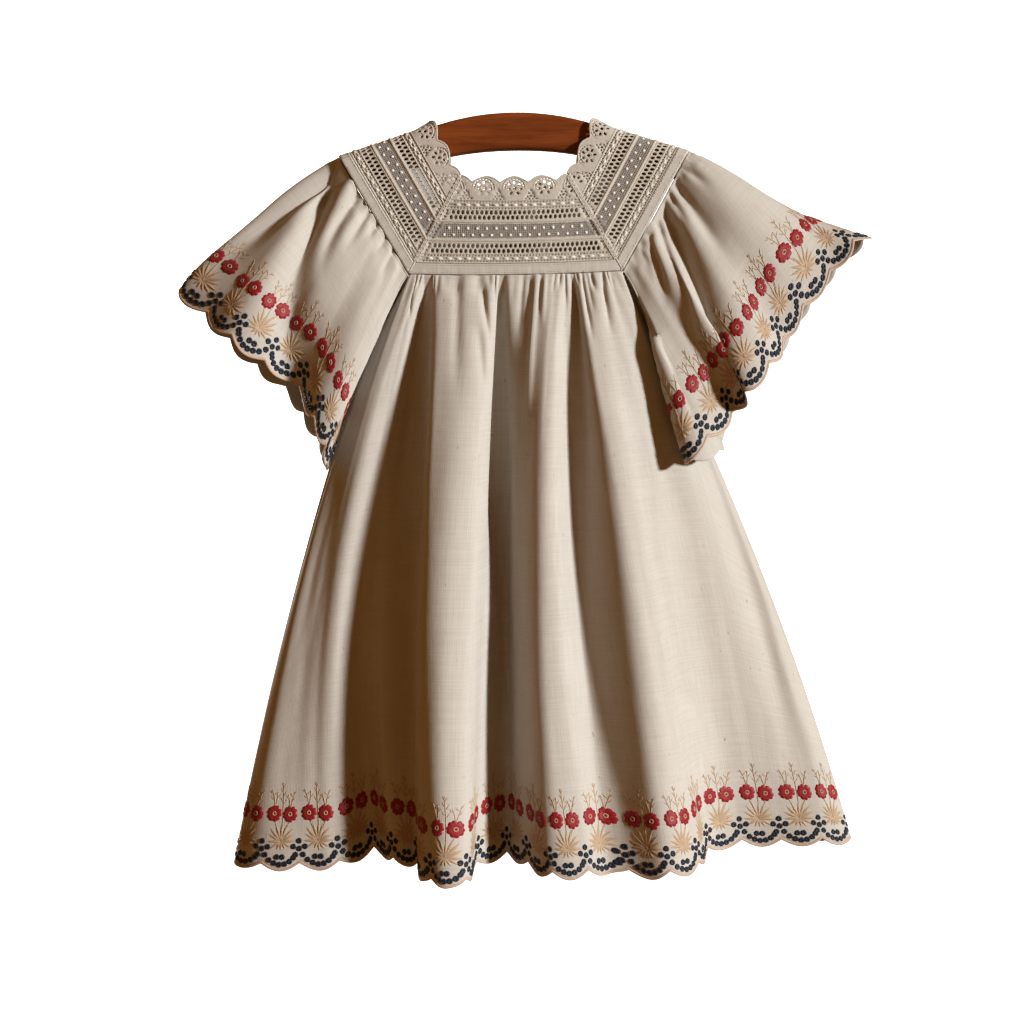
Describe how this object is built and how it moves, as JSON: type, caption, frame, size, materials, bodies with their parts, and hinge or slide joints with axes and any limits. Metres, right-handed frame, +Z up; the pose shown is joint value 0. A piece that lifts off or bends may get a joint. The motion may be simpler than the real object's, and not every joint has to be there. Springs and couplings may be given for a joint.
{
  "type": "child's lace-yoke linen dress on a wooden hanger",
  "caption": "Child's flared linen dress with a crochet lace yoke, flutter sleeves and a scalloped embroidered hem, hanging on a flat wooden hanger.",
  "frame": {"origin": "middle of the hanger's crest, where a hook, peg or hand holds it", "axes": "+Z up, -Y towards the dress's front, +X to the right as seen from the front"},
  "size_m": [0.5202, 0.1473, 0.566],
  "materials": {
    "linen": "washed plain-weave linen, matt, natural ecru with slubs",
    "crochet_lace": "cream cotton crochet and drawn-thread lace, matt",
    "embroidery": "red, navy and tan cotton thread, satin stitch with a slight sheen",
    "hanger_wood": "warm brown oiled wood with fine grain, satin"
  },
  "bodies": {
    "root": {"hanger": "hanger_wood", "neck_edging_front": "crochet_lace", "yoke_lace_front": "crochet_lace", "yoke_band_front": "linen", "neck_edging_back": "crochet_lace", "yoke_lace_back": "crochet_lace", "yoke_band_back": "linen", "neck_edging_left": "crochet_lace", "yoke_lace_left": "crochet_lace", "yoke_band_left": "linen", "neck_edging_right": "crochet_lace", "yoke_lace_right": "crochet_lace", "yoke_band_right": "linen", "body_front": "linen", "body_back": "linen", "sleeve_left": "linen", "sleeve_right": "linen"}
  },
  "joints": []
}
